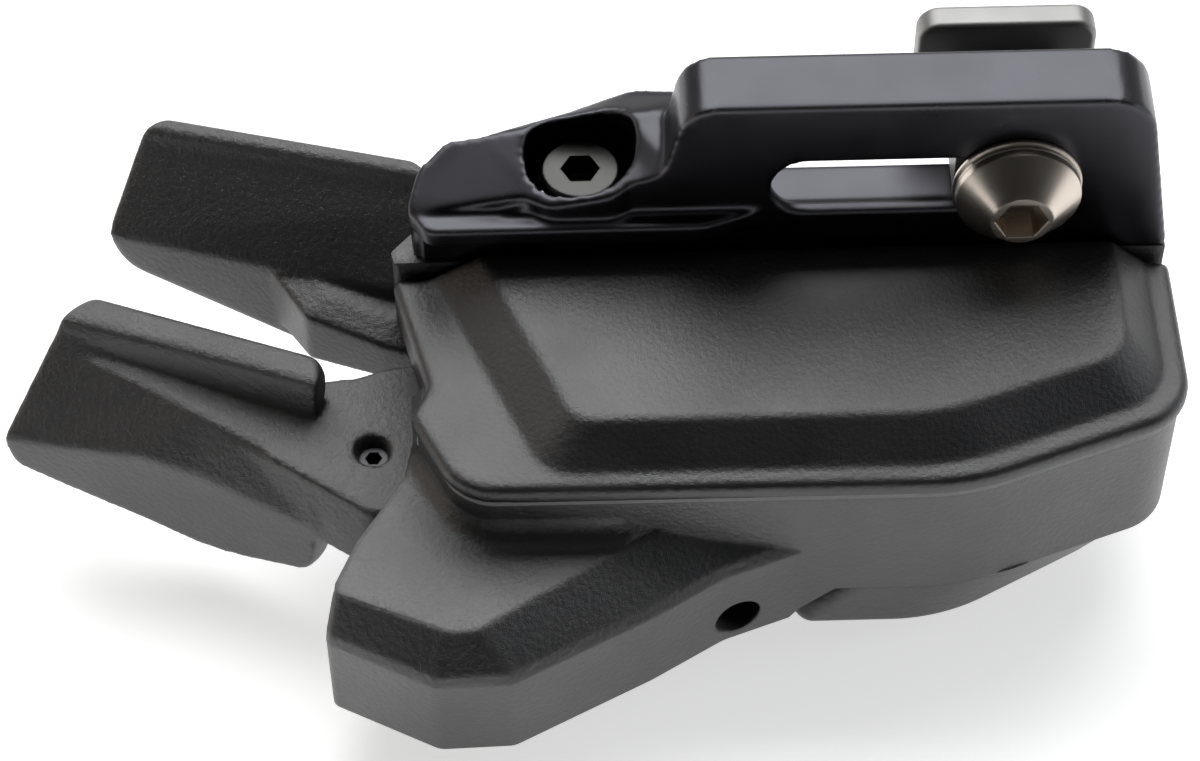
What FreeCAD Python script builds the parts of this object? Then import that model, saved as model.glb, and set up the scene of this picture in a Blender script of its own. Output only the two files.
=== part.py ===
import FreeCAD, Part
import math
import os
from FreeCAD import Vector

os.makedirs("parts", exist_ok=True)

# A trigger gear shifter for a bicycle handlebar, of the kind that sends its signal by radio.
# Lengths are millimetres. Everything is drawn from a datum on the flat top of the cover:
# X runs along the handlebar with the levers at -X, Y points back to the handlebar, Z is up.
# At the end each piece is moved so that the origin lies where the brake clamp seats.

# Clamp seat in the datum frame: bolt axis at the rear face of the bracket wall
seat_x = 36.3
seat_z = 7.1
wall_front_y = 15.0
wall_thickness = 6.0

# Body outline, shared by the cover, the gasket and the housing
body_right_x = 50.7
body_front_y = -9.4
body_rear_y = 21.0
foot_rear_y = 25.0
body_left_x = -18.6
cover_rear_y = 14.7
shell_inset = 0.5

# Heights below the flat top of the cover
rim_drop = 2.9
cover_side = 1.9
cover_wall = 1.5
gasket_thickness = 0.5
gasket_inset = 0.35
deck_z = -1.5
block_top_z = -9.3
lever_slot_top_z = -10.3
lever_slot_height = 6.5
battery_face_z = -18.5
block_bottom_z = -22.3

# Raised field of the cover
field_left_rear_x = -10.1
field_front_y = -4.2
field_right_x = 45.2
field_corner_y = 1.9
slope_run = 3.6

# Front block
bevel_height = 3.0
bevel_width = 3.2
bevel_ease = 0.7
neck_radius = 2.2
port_x = 11.6
port_z = -19.4
port_radius = 2.0
port_end_y = -6.9

# Inner bay for the electronics
bay_left_x = 3.0
bay_right_x = 47.4
bay_front_y = -6.3
bay_rear_y = 12.4
bay_floor_z = -16.8
divider = 1.5
post_radius = 2.3

# Lever pivots
main_pivot = (-9.0, 1.0)
release_pivot = (-7.5, 16.5)
pin_radius = 2.0
pin_head_radius = 3.2
pin_head_height = 1.2
pin_top_z = -6.6
running_clearance = 0.03
bushing_wall = 0.7
side_clearance = 0.15
hub_height = 3.8
main_hub_radius = 6.2
release_hub_radius = 5.0

# Main lever
arm_top_z = -10.6
arm_thickness = 5.5
main_blade_start = (-25.6, 5.2)
main_blade_angle = 20.6
main_blade_top_z = -5.7
main_blade_length = 22.3
blade_edge_width = 2.4
carrier_thickness = 2.6
fixing_screw_at = (-19.9, 1.3)
fixing_screw_radius = 1.25
fixing_recess_radius = 1.5

# Release lever
release_blade_start = (-16.3, 24.1)
release_blade_angle = 14.7
release_blade_top_z = -4.0
release_blade_length = 22.0

# Plungers and switches
plunger_radius = 1.2
plunger_length = 4.4
plunger_gap = 0.15
plunger_z = -13.6
main_plunger_y = 5.0
release_plunger_y = 19.5
seal_wall = 0.6
switch_board_x = 8.4
switch_board_thickness = 1.0
switch_width = 5.0
switch_depth = 2.6
button_radius = 1.1

# Return springs
spring_wire = 0.6
spring_turns = 2.25
main_spring_radius = 4.75
release_spring_radius = 4.2

# Circuit board and its parts
board_z = -9.0
board_thickness = 1.0
board_left_x = 17.4
board_right_x = 41.2
board_rear_y = 7.8
radio_at = (21.0, -2.6)
radio_size = (13.0, 10.0, 2.0)
chip_at = (36.0, 0.7)
chip_size = (4.2, 4.2, 0.9)

# Coin cell and its cover
cell_radius = 8.0
cell_height = 3.2
cell_at = (32.5, 2.2)
cell_clearance = 0.3
battery_cover_height = 5.4
battery_gap = 0.6
battery_floor = 1.4
battery_edge = 0.8
contact_thickness = 0.3
battery_seal_wall = 0.9

# Bracket
wall_top_z = 16.95
wall_left_x = 9.0
wall_right_x = 47.1
wall_lean = 3.2
bracket_slot_height = 6.4
bracket_slot_left_x = 15.2
bracket_slot_right_x = 40.8
slot_lip = 1.4
channel_margin = 0.5
channel_overrun = 2.4
toe_top_z = 4.5
toe_thickness = 2.0
toe_front_y = 13.15
ridge_y = 21.0
screw_pocket_at = (-1.2, 19.3)
screw_pocket_radius = 4.7
screw_pocket_wall = 1.3
screw_seat_z = 1.6

# Fasteners
m4_radius = 2.0
m4_head_radius = 3.5
m4_head_height = 4.0
m4_length = 11.0
m4_key = 3.0
m3_radius = 1.5
m3_head_radius = 2.75
m3_head_height = 2.4
m3_at = (42.0, 18.0)
m3_reach_z = 1.8
m2_radius = 1.0
m2_head_radius = 1.8
m2_head_height = 1.3
m2_length = 11.5
m6_radius = 3.0
m6_key = 4.0
bolt_flange_radius = 5.4
bolt_tip_radius = 3.0
bolt_head_height = 3.4
washer_radius = 5.6
washer_thickness = 0.5
clamp_clearance = 0.05
lug_gap = 6.0
nut_plate_width = 15.6
nut_plate_height = 14.4
nut_plate_thickness = 2.6
nut_neck_width = 10.4
nut_neck_clearance = 0.2

# Places worked out from the values above
wall_rear_y = wall_front_y + wall_thickness
rim_z = -rim_drop
cover_bottom_z = rim_z - cover_side
housing_top_z = cover_bottom_z - gasket_thickness
lever_slot_bottom_z = lever_slot_top_z - lever_slot_height
divider_left_x = bay_left_x - divider
origin = Vector(seat_x, wall_rear_y, seat_z)


def rounded(points, place):
    """Closed wire through (a, b, radius) corners; place turns (a, b) into a point in space."""
    count = len(points)
    corners = [place(a, b) for a, b, radius in points]
    spans = []
    for i in range(count):
        corner = corners[i]
        before = (corners[i - 1] - corner).normalize()
        after = (corners[(i + 1) % count] - corner).normalize()
        radius = points[i][2]
        if radius <= 0:
            spans.append((corner, corner, None))
            continue
        half = before.getAngle(after) / 2
        reach = radius / math.tan(half)
        middle = (before + after).normalize() * (radius / math.sin(half) - radius)
        spans.append((corner + before * reach, corner + after * reach, corner + middle))
    edges = []
    for i in range(count):
        start, end, middle = spans[i]
        if middle is not None:
            edges.append(Part.Arc(start, middle, end).toShape())
        following = spans[(i + 1) % count][0]
        edges.append(Part.LineSegment(end, following).toShape())
    return Part.Wire(edges)


def flat(z):
    return lambda a, b: Vector(a, b, z)


def upright(y):
    return lambda a, b: Vector(a, y, b)


def prism(points, low, high):
    """Solid with a plan outline between two heights."""
    face = Part.Face(rounded(points, flat(low)))
    return face.extrude(Vector(0, 0, high - low))


def prism_y(points, front, back):
    """Solid with an outline drawn in X and Z, between two depths."""
    face = Part.Face(rounded(points, upright(front)))
    return face.extrude(Vector(0, back - front, 0))


def inset_prism(points, inset, low, high):
    """Prism whose outline lies inside another by a set amount."""
    wire = rounded(points, flat(low))
    face = Part.Face(wire.makeOffset2D(-inset))
    return face.extrude(Vector(0, 0, high - low))


def square(points):
    """The same outline with sharp corners."""
    return [(a, b, 0) for a, b in points]


def box(x0, x1, y0, y1, z0, z1):
    return Part.makeBox(x1 - x0, y1 - y0, z1 - z0, Vector(x0, y0, z0))


def rod(at, low, high, radius):
    """Upright cylinder at a plan position."""
    return Part.makeCylinder(radius, high - low, Vector(at[0], at[1], low))


def rod_x(y, z, left, right, radius):
    return Part.makeCylinder(radius, right - left, Vector(left, y, z), Vector(1, 0, 0))


def rod_y(x, z, front, back, radius):
    return Part.makeCylinder(radius, back - front, Vector(x, front, z), Vector(0, 1, 0))


def joined(first, *others):
    shape = first.fuse(list(others))
    return shape.removeSplitter()


def edges_near(shape, test):
    """Edges whose middle point passes a test."""
    found = []
    for edge in shape.Edges:
        middle = edge.valueAt((edge.FirstParameter + edge.LastParameter) / 2)
        if test(middle, edge):
            found.append(edge)
    return found


def hexagon(across):
    """Corners of a hexagon, as (a, b), for a key of the given size."""
    corner = across / 2 / math.cos(math.pi / 6)
    turns = [math.pi / 3 * k for k in range(6)]
    return [(corner * math.cos(t), corner * math.sin(t)) for t in turns]


def hex_socket_down(at, top, depth, across):
    """Hexagonal recess cut down from a height."""
    points = [(at[0] + a, at[1] + b) for a, b in hexagon(across)]
    return prism(square(points), top - depth, top)


def front_outline():
    """The corners that the cover and the housing share, from the left side round to the right."""
    return [
        (-14.9, 2.3, 0.8),
        (-16.4, -0.9, 1.5),
        (-12.1, body_front_y, 5.3),
        (31.0, body_front_y - 0.2, 21.0),
        (body_right_x, -2.4, 6.0),
    ]


def body_outline():
    rear = [
        (body_right_x, body_rear_y, 1.5),
        (14.0, body_rear_y, 1.0),
        (12.0, foot_rear_y, 1.0),
        (-8.5, foot_rear_y, 2.0),
        (-13.6, 22.4, 2.0),
        (body_left_x, 16.4, 1.0),
    ]
    return front_outline() + rear


def cover_outline():
    rear = [
        (body_right_x, cover_rear_y, 0.4),
        (body_left_x + 0.44, cover_rear_y, 0.4),
    ]
    return front_outline() + rear


def field_outline(spread):
    """Corners of the raised field; spread widens it to the foot of the slope."""
    side = spread * 0.93
    rear_x = field_left_rear_x - spread * 1.3
    return [
        (rear_x, cover_rear_y, 0),
        (rear_x + 8.0 + spread * 0.5, field_front_y - spread, 2.5 + spread * 0.4),
        (28.5 + spread * 0.4, field_front_y - spread, 20.0),
        (field_right_x + side, field_corner_y - spread * 0.8, 4.0 + spread * 0.4),
        (field_right_x + side, cover_rear_y, 0),
    ]


def post_places():
    """Where the four screws that hold the cover stand."""
    rear = bay_rear_y - post_radius + 0.4
    return [(14.5, -2.3), (14.5, rear), (43.7, 4.0), (38.0, rear)]


def battery_screw_places():
    return [(21.2, -4.6), (44.2, 8.2)]


def top_cover():
    """Moulded lid with a raised field, hollow below, with four screw bosses."""
    rim = prism(cover_outline(), cover_bottom_z, rim_z)
    outer = edges_near(rim, lambda p, e: abs(p.z - rim_z) < 0.01 and p.y < cover_rear_y - 0.3)
    rim = rim.makeFillet(0.9, outer)
    low = rounded(field_outline(slope_run), flat(rim_z - 0.02))
    high = rounded(field_outline(0), flat(0))
    field = Part.makeLoft([low, high], True, True)
    top = edges_near(field, lambda p, e: abs(p.z) < 0.01 and p.y < cover_rear_y - 0.3)
    field = field.makeFillet(0.7, top)
    lid = joined(rim, field)
    right = field_right_x - 0.4
    hollow = [
        (bay_left_x, field_front_y + 0.2, 1.5),
        (28.5, field_front_y + 0.2, 8.0),
        (right, field_corner_y + 0.7, 3.0),
        (right, bay_rear_y, 1.5),
        (bay_left_x, bay_rear_y, 1.5),
    ]
    lid = lid.cut(prism(hollow, cover_bottom_z, -cover_wall))
    for place in post_places():
        boss = rod(place, cover_bottom_z, -cover_wall, post_radius)
        hole = rod(place, cover_bottom_z, -cover_wall - 0.6, m2_radius)
        lid = lid.fuse(boss.common(prism(cover_outline(), cover_bottom_z, 0))).cut(hole)
    return lid.removeSplitter()


def cover_gasket():
    """Thin ring that seals the cover to the housing."""
    ring = inset_prism(cover_outline(), gasket_inset, housing_top_z, cover_bottom_z)
    return ring.cut(inset_prism(cover_outline(), gasket_inset + 1.7, housing_top_z, cover_bottom_z))


def block_outline(inset):
    """Plan of the front block; inset gives the edge of its flat top."""
    run = inset * 1.45
    return [
        (-16.5, 6.0, 0),
        (-16.3, 0.5, 1.0),
        (-17.2, -3.2, 2.0),
        (-21.4 + inset * 0.1, -9.6, 3.0),
        (-23.9 + inset * 0.25, -17.2 + inset * 0.8, 1.0),
        (-14.4 + inset * 0.45, -22.2 + inset * 0.95, 2.0),
        (-8.0 - inset * 0.9, -22.0 + inset * 0.95, 2.0),
        (4.0 - run, -15.6 + inset * 1.05, 6.0),
        (10.4 - run, -11.6 + inset * 0.9, 6.0),
        (17.5 - inset * 2.9, body_front_y + shell_inset + inset * 0.9, 0),
        (10.0 - inset * 1.5, 6.0, 0),
    ]


def front_block():
    """Block at the front left, with a broad bevel round its flat top."""
    shoulder_z = block_top_z - bevel_height
    base = prism(block_outline(0), block_bottom_z, shoulder_z - bevel_ease)
    stages = [
        rounded(block_outline(0), flat(shoulder_z - bevel_ease)),
        rounded(block_outline(bevel_width * 0.13), flat(shoulder_z + bevel_ease * 0.3)),
        rounded(block_outline(bevel_width), flat(block_top_z)),
    ]
    bevel = Part.makeLoft(stages, True, True)
    rim = edges_near(bevel, lambda p, e: abs(p.z - block_top_z) < 0.01 and p.y < 5.9)
    return joined(base, bevel.makeFillet(0.7, rim))


def neck_cove():
    """Hollow curve where the flat top of the block runs into the wall under the cover."""
    low = block_top_z - 2
    front = body_front_y + shell_inset
    wall = [(-15.4, 6.0, 0), (-15.9, -0.9, 1.5), (-11.7, front, 4.8), (20.0, front, 0), (20.0, 6.0, 0)]
    corner = joined(prism(wall, low, block_top_z + 3), box(-30.0, 20.0, -26.0, 6.0, low, block_top_z))
    foot = edges_near(corner, is_neck_edge)
    corner = corner.makeFillet(neck_radius, foot)
    foot_wire = rounded(block_outline(bevel_width), flat(block_top_z - 0.3))
    ridge = [
        (-16.4, 6.0, 0), (-16.2, 0.5, 1.0), (-17.1, -3.2, 2.0), (-21.0, -9.6, 3.0), (-22.8, -14.0, 1.0),
        (-13.0, -17.6, 2.0), (-11.0, -17.4, 2.0), (-3.2, -10.6, 4.0), (2.8, -7.4, 4.0),
        (5.2, -6.0, 0), (4.0, 6.0, 0),
    ]
    above = Part.makeLoft([foot_wire, rounded(ridge, flat(block_top_z + neck_radius + 0.2))], True, True)
    return corner.common(above)


def is_neck_edge(middle, edge):
    at_foot = abs(middle.z - block_top_z) < 0.01
    within = middle.x > -16.5 and middle.x < 19.9 and middle.y < 5.9
    return at_foot and within and middle.y > body_front_y + shell_inset - 0.3


def main_housing():
    """Moulded body: shell under the cover, front block, lever slot, bay and battery face."""
    outline = body_outline()
    shell = inset_prism(outline, shell_inset, block_bottom_z, housing_top_z)
    deck = inset_prism(outline, shell_inset, housing_top_z, deck_z)
    deck = deck.common(box(-40.0, 60.0, wall_front_y, 40.0, housing_top_z, deck_z))
    body = joined(shell, front_block(), neck_cove(), deck)
    body = body.cut(lever_slot())
    body = body.cut(bay())
    body = add_posts(body)
    body = body.cut(battery_face())
    for tool in housing_bores():
        body = body.cut(tool)
    return body.removeSplitter()


def lever_slot():
    """Space for the two lever hubs, open to the left."""
    points = [
        (-32.0, 1.4),
        (-18.2, -9.0),
        (-6.0, -9.0),
        (divider_left_x, -3.0),
        (divider_left_x, foot_rear_y - 3.0),
        (-9.0, foot_rear_y - 2.4),
        (-9.0, foot_rear_y + 3.0),
        (-32.0, foot_rear_y + 3.0),
    ]
    return prism(square(points), lever_slot_bottom_z, lever_slot_top_z)


def bay():
    """Room for the boards, open under the cover, with a pocket that runs back to both switches."""
    main = [
        (bay_left_x, bay_front_y, 1.0),
        (31.0, bay_front_y, 18.0),
        (bay_right_x, 0.0, 4.0),
        (bay_right_x, bay_rear_y, 1.5),
        (bay_left_x, bay_rear_y, 0.5),
    ]
    pocket = box(bay_left_x, 12.0, bay_rear_y - 2, 22.3, bay_floor_z, -9.5)
    return prism(main, bay_floor_z, housing_top_z + 5).fuse(pocket)


def add_posts(body):
    for place in post_places():
        body = body.fuse(rod(place, bay_floor_z, housing_top_z, post_radius))
    for place in battery_screw_places():
        body = body.fuse(rod(place, bay_floor_z, bay_floor_z + 3.4, post_radius - 0.3))
    for place in board_pegs():
        body = body.fuse(rod(place, bay_floor_z, board_z, 1.4))
        body = body.fuse(rod(place, board_z, board_z + board_thickness + 0.5, 0.7))
    return body


def board_pegs():
    return [(board_left_x + 2.0, bay_front_y + 2.6), (board_right_x - 2.2, board_rear_y - 1.8)]


def battery_face():
    """Everything below the face that the battery cover closes, with a slanted left end."""
    depth = 12.0
    lean = depth * 1.03
    points = [(20.2, battery_face_z), (60.0, battery_face_z)]
    points += [(60.0, battery_face_z - depth), (20.2 - lean, battery_face_z - depth)]
    return prism_y(square(points), -30.0, 40.0)


def housing_bores():
    """Holes for pins, screws, plungers, contacts and the tool port."""
    tools = []
    for place in (main_pivot, release_pivot):
        tools.append(rod(place, block_bottom_z, pin_top_z, pin_radius))
        tools.append(rod(place, block_bottom_z, block_bottom_z + pin_head_height, pin_head_radius + 0.1))
    for place in post_places():
        tools.append(rod(place, battery_face_z, housing_top_z, m2_radius))
        tools.append(rod(place, battery_face_z, cover_screw_seat(), m2_head_radius + 0.1))
    for place in battery_screw_places():
        tools.append(rod(place, battery_face_z, battery_face_z + 4.2, m2_radius))
    tools.append(rod(screw_pocket_at, screw_seat_z - m4_length, deck_z, m4_radius))
    tools.append(rod(m3_at, battery_face_z, deck_z, m3_radius))
    tools.append(rod(m3_at, battery_face_z, battery_face_z + m3_head_height + 0.6, m3_head_radius + 0.15))
    for y in (main_plunger_y, release_plunger_y):
        tools.append(rod_x(y, plunger_z, divider_left_x, bay_left_x, plunger_radius + seal_wall))
    tools.append(rod_y(port_x, port_z, -20.0, port_end_y, port_radius))
    tools.append(contact_slot(negative_contact_x()))
    tools.append(contact_slot(positive_contact_x()))
    return tools


def cover_screw_seat():
    """Height of the shoulder under the heads of the cover screws."""
    return -cover_wall - 0.9 - m2_length


def negative_contact_x():
    return cell_at[0] + 3.6


def positive_contact_x():
    return cell_at[0] + cell_radius


def contact_slot(x):
    margin = 0.1
    y = cell_at[1]
    return box(x - margin, x + contact_thickness + margin, y - 1.1, y + 1.1, battery_face_z, bay_floor_z)


def cover_screws():
    screws = []
    seat = cover_screw_seat()
    for place in post_places():
        shank = rod(place, seat, seat + m2_length, m2_radius)
        head = rod(place, seat - m2_head_height, seat, m2_head_radius)
        screw = shank.fuse(head)
        screws.append(screw.cut(hex_socket_down(place, seat - m2_head_height + 0.8, 0.8, 1.5)))
    return Part.makeCompound(screws)


def battery_outline_top():
    return [
        (20.9, -8.5, 2.2),
        (31.0, -8.5, 18.0),
        (47.6, -2.5, 6.0),
        (47.6, 12.4, 4.0),
        (20.9, 12.4, 2.2),
    ]


def battery_outline_bottom():
    return [
        (15.6, -8.7, 2.2),
        (29.8, -8.7, 18.0),
        (45.6, 0.2, 6.0),
        (45.6, 11.2, 4.0),
        (15.6, 11.2, 2.2),
    ]


def battery_top_z():
    return battery_face_z - battery_gap


def battery_bottom_z():
    return battery_top_z() - battery_cover_height


def battery_cover():
    """Bulged lid under the coin cell, with a pocket for the cell and two screw holes."""
    low = rounded(battery_outline_bottom(), flat(battery_bottom_z()))
    high = rounded(battery_outline_top(), flat(battery_top_z()))
    lid = Part.makeLoft([low, high], True, True)
    bottom = edges_near(lid, lambda p, e: abs(p.z - battery_bottom_z()) < 0.01)
    lid = lid.makeFillet(battery_edge, bottom)
    pocket_floor = battery_bottom_z() + battery_floor
    lid = lid.cut(rod(cell_at, pocket_floor, battery_top_z(), cell_radius + cell_clearance))
    clip_x = positive_contact_x()
    lid = lid.cut(box(clip_x - 1, clip_x + 0.8, cell_at[1] - 1.6, cell_at[1] + 1.6, pocket_floor, battery_top_z()))
    for place in battery_screw_places():
        lid = lid.cut(rod(place, battery_bottom_z(), battery_top_z(), m2_radius + 0.1))
        lid = lid.cut(rod(place, battery_bottom_z(), battery_bottom_z() + 2.2, m2_head_radius + 0.1))
    return lid


def battery_cover_seal():
    inner = cell_radius + cell_clearance + 1.0
    ring = rod(cell_at, battery_top_z(), battery_face_z, inner + battery_seal_wall)
    return ring.cut(rod(cell_at, battery_top_z(), battery_face_z, inner))


def battery_cover_screws():
    screws = []
    seat = battery_bottom_z() + 2.2
    for place in battery_screw_places():
        shank = rod(place, seat, battery_face_z + 3.6, m2_radius)
        head = rod(place, seat - m2_head_height, seat, m2_head_radius)
        socket = hex_socket_down(place, seat - m2_head_height + 0.8, 0.8, 1.5)
        screws.append(shank.fuse(head).cut(socket))
    return Part.makeCompound(screws)


def cell_bottom_z():
    return battery_bottom_z() + battery_floor


def coin_cell():
    cell = rod(cell_at, cell_bottom_z(), cell_bottom_z() + cell_height, cell_radius)
    rim = edges_near(cell, lambda p, e: abs(p.z - cell_bottom_z()) < 0.01)
    return cell.makeFillet(0.4, rim)


def battery_contact_negative():
    """Leaf on the ceiling over the cell, with a dimple and a tail up to the board."""
    top = battery_face_z
    x = negative_contact_x()
    y = cell_at[1]
    leaf = box(x - 7.0, x + contact_thickness, y - 2.0, y + 2.0, top - contact_thickness, top)
    cell_top = cell_bottom_z() + cell_height
    dimple = rod(cell_at, cell_top, top - contact_thickness, 1.3)
    tail = box(x, x + contact_thickness, y - 1.0, y + 1.0, top - contact_thickness, board_z)
    return joined(leaf, dimple, tail)


def battery_contact_positive():
    """Clip that stands against the side of the cell, with a tail up to the board."""
    x = positive_contact_x()
    y = cell_at[1]
    clip = box(x, x + contact_thickness, y - 1.5, y + 1.5, cell_bottom_z() + 0.4, battery_face_z)
    tail = box(x, x + contact_thickness, y - 1.0, y + 1.0, battery_face_z, board_z)
    return joined(clip, tail)


def circuit_board():
    outline = [
        (board_left_x, bay_front_y + 0.6, 0.8),
        (28.5, bay_front_y + 0.6, 1.0),
        (board_right_x, bay_front_y + 7.0, 1.0),
        (board_right_x, board_rear_y, 0.8),
        (board_left_x, board_rear_y, 0.8),
    ]
    board = prism(outline, board_z, board_z + board_thickness)
    for place in board_pegs():
        board = board.cut(rod(place, board_z, board_z + board_thickness, 0.75))
    return board


def radio_module():
    """Shielded radio can on the board."""
    x, y = radio_at
    length, width, height = radio_size
    top = board_z + board_thickness
    can = box(x, x + length, y, y + width, top, top + height)
    return can.makeFillet(0.4, edges_near(can, lambda p, e: p.z > top + 0.1))


def control_chip():
    """Square chip beside the radio module, with a dot that marks its first pin."""
    x, y = chip_at
    length, width, height = chip_size
    top = board_z + board_thickness
    chip = box(x, x + length, y, y + width, top, top + height)
    return chip.cut(rod((x + 0.8, y + width - 0.8), top + height - 0.15, top + height, 0.35))


def switch_board():
    back = switch_board_x + switch_board_thickness
    return box(switch_board_x, back, -2.0, 21.8, bay_floor_z, -9.7)


def switch_flex():
    """Flat strip from the switch board to the circuit board."""
    back = switch_board_x + switch_board_thickness
    low = board_z + board_thickness
    run = box(back, board_left_x + 2.6, 3.0, 7.0, low, low + 0.25)
    drop = box(back, back + 0.25, 3.0, 7.0, -12.0, low + 0.25)
    return joined(run, drop)


def switch_body(y):
    """Square tactile switch on the switch board, with a well for its button."""
    half = switch_width / 2
    left = switch_board_x - switch_depth
    body = box(left, switch_board_x, y - half, y + half, plunger_z - half, plunger_z + half)
    well = rod_x(y, plunger_z, left, switch_board_x - 0.8, button_radius + running_clearance)
    return body.cut(well)


def plunger_left_x():
    """Where a plunger starts, just right of the lever's tab."""
    return divider_left_x - 0.9


def switch_button(y):
    left = plunger_left_x() + plunger_length
    return rod_x(y, plunger_z, left, switch_board_x - 0.8 - 0.9, button_radius)


def plunger(y):
    """Round-ended pin through the divider that carries the lever's push to the switch."""
    left = plunger_left_x()
    body = rod_x(y, plunger_z, left, left + plunger_length, plunger_radius)
    tip = edges_near(body, lambda p, e: abs(p.x - left) < 0.01)
    return body.makeFillet(0.5, tip)


def plunger_seal(y):
    ring = rod_x(y, plunger_z, divider_left_x, bay_left_x, plunger_radius + seal_wall)
    return ring.cut(rod_x(y, plunger_z, divider_left_x, bay_left_x, plunger_radius + running_clearance))


def pivot_pin(at):
    shank = rod(at, block_bottom_z, pin_top_z, pin_radius)
    head = rod(at, block_bottom_z, block_bottom_z + pin_head_height, pin_head_radius)
    return shank.fuse(head).removeSplitter()


def hub_top_z():
    return lever_slot_bottom_z + side_clearance + hub_height


def boss_top_z():
    return lever_slot_top_z - side_clearance


def bushing_radius():
    return pin_radius + running_clearance + bushing_wall


def bushing(at):
    low = lever_slot_bottom_z + side_clearance
    sleeve = rod(at, low, boss_top_z(), bushing_radius())
    return sleeve.cut(rod(at, low, boss_top_z(), pin_radius + running_clearance))


def return_spring(at, radius):
    """Coil round a lever's boss with two straight legs."""
    pitch = spring_wire + 0.05
    low = hub_top_z() + spring_wire / 2 + 0.05
    helix = Part.makeHelix(pitch, pitch * spring_turns, radius)
    start = helix.Edges[0].valueAt(helix.Edges[0].FirstParameter)
    ring = Part.Wire(Part.Circle(start, Vector(0, 1, 0), spring_wire / 2).toShape())
    coil = Part.Wire(helix).makePipeShell([ring], True, True)
    leg = Part.makeCylinder(spring_wire / 2, 1.6, start, Vector(0, -1, 0))
    coil = coil.fuse(leg)
    coil.translate(Vector(at[0], at[1], low))
    return coil


def blade_frame(start, angle):
    """Turns (along, out, height) on a blade into a point; out is towards the thumb."""
    turn = math.radians(angle)
    along = Vector(-math.cos(turn), math.sin(turn), 0)
    out = Vector(-math.sin(turn), -math.cos(turn), 0)
    base = Vector(start[0], start[1], 0)
    return lambda s, d, z: base + along * s + out * d + Vector(0, 0, z)


def blade_section(frame, s, slant, corners):
    """One cross-section of a blade; slant carries its lower part further along."""
    return rounded(corners, lambda d, z: frame(s + slant * d, d, z))


def main_blade():
    """Thumb blade: a thin rim above, a rib that grows into the arm, and a broad lower face."""
    frame = blade_frame(main_blade_start, main_blade_angle)
    top = main_blade_top_z
    edge = blade_edge_width
    inner = [
        (-edge, top, 0.7), (0, top, 0.9), (0.6, arm_top_z, 0.9), (7.2, arm_top_z, 1.4),
        (7.5, arm_top_z - 5.2, 1.0), (7.9, -22.2, 0.8), (4.8, -22.2, 0.8), (1.4, -15.0, 2.0),
    ]
    middle = [
        (-edge, top, 0.7), (0, top, 0.9), (0.6, top - 3.4, 0.9), (4.4, top - 3.6, 1.4),
        (6.2, top - 7.4, 1.0), (8.1, -22.2, 0.8), (5.0, -22.2, 0.8), (1.2, -14.0, 2.0),
    ]
    tip = [
        (-edge, top, 0.7), (0, top, 0.9), (1.0, top - 1.0, 0.3), (2.2, top - 2.1, 0.3),
        (8.3, top - 8.0, 1.0), (8.9, top - 12.2, 0.8), (5.9, top - 12.2, 0.8), (0.6, top - 7.0, 2.0),
    ]
    sections = [
        blade_section(frame, 0, 0, inner),
        blade_section(frame, main_blade_length * 0.56, 0.1, middle),
        blade_section(frame, main_blade_length, 0.27, tip),
    ]
    return Part.makeLoft(sections, True, True)


def main_arm():
    """The moulded arm from the blade to the hub, with a pocket below for the carrier."""
    outline = [
        (-30.0, 1.6, 0),
        (-18.6, -7.0, 2.5),
        (-12.8, -6.4, 1.0),
        (-12.8, 9.4, 1.0),
        (-15.6, 11.0, 1.0),
        (-23.2, 8.7, 2.0),
        (-25.4, 5.8, 0),
        (-29.2, 6.6, 0),
    ]
    arm = prism(outline, arm_top_z - arm_thickness, arm_top_z)
    rims = edges_near(arm, is_arm_rim)
    arm = arm.makeFillet(1.3, rims)
    return arm.cut(rod(main_pivot, -30, 0, main_hub_radius + 0.4))


def is_arm_rim(middle, edge):
    at_top = abs(middle.z - arm_top_z) < 0.01
    return at_top and middle.x < -12.9 and middle.x > -26.0


def carrier_outline(grow):
    return [
        (-9.0, -3.6 - grow, 0),
        (-20.5 - grow, -3.6 - grow, 1.5),
        (-24.6 - grow, 1.2, 2.0),
        (-21.5 - grow, 5.6 + grow, 1.5),
        (-9.0, 5.6 + grow, 0),
    ]


def carrier_low_z():
    return arm_top_z - arm_thickness


def main_lever():
    """One moulding: blade and arm, held on its carrier by a small screw from above."""
    lever = joined(main_blade(), main_arm())
    low = carrier_low_z()
    seat = low + carrier_thickness
    lever = lever.cut(prism(carrier_outline(0.1), low - 6, seat))
    lever = lever.cut(rod(fixing_screw_at, low, arm_top_z, fixing_screw_radius))
    lever = lever.cut(rod(fixing_screw_at, arm_top_z - 1.0, arm_top_z, fixing_recess_radius))
    return lever


def main_lever_carrier():
    """Metal plate with a hub, inside the moulded arm."""
    low = carrier_low_z()
    plate = prism(carrier_outline(0), low, low + carrier_thickness)
    hub = rod(main_pivot, lever_slot_bottom_z + side_clearance, hub_top_z(), main_hub_radius)
    boss = rod(main_pivot, hub_top_z(), boss_top_z(), main_spring_radius - spring_wire / 2 - 0.35)
    plate = joined(plate, hub, boss, lever_tab(main_pivot, main_plunger_y))
    plate = plate.cut(rod(main_pivot, -30, 0, bushing_radius()))
    return plate.cut(rod(fixing_screw_at, -30, 0, fixing_screw_radius))


def lever_tab(pivot, y):
    """Nose on a hub that pushes the plunger."""
    reach = plunger_left_x() - plunger_gap
    low = lever_slot_bottom_z + side_clearance
    back = y + plunger_radius + 0.8
    points = [(pivot[0], y - 3.0), (reach, y - 1.6), (reach, back), (pivot[0], back)]
    return prism(square(points), low, low + hub_height)


def lever_fixing_screw():
    top = arm_top_z - 1.1
    screw = rod(fixing_screw_at, carrier_low_z(), top, fixing_screw_radius)
    return screw.cut(hex_socket_down(fixing_screw_at, top, 1.2, 1.3))


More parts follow.
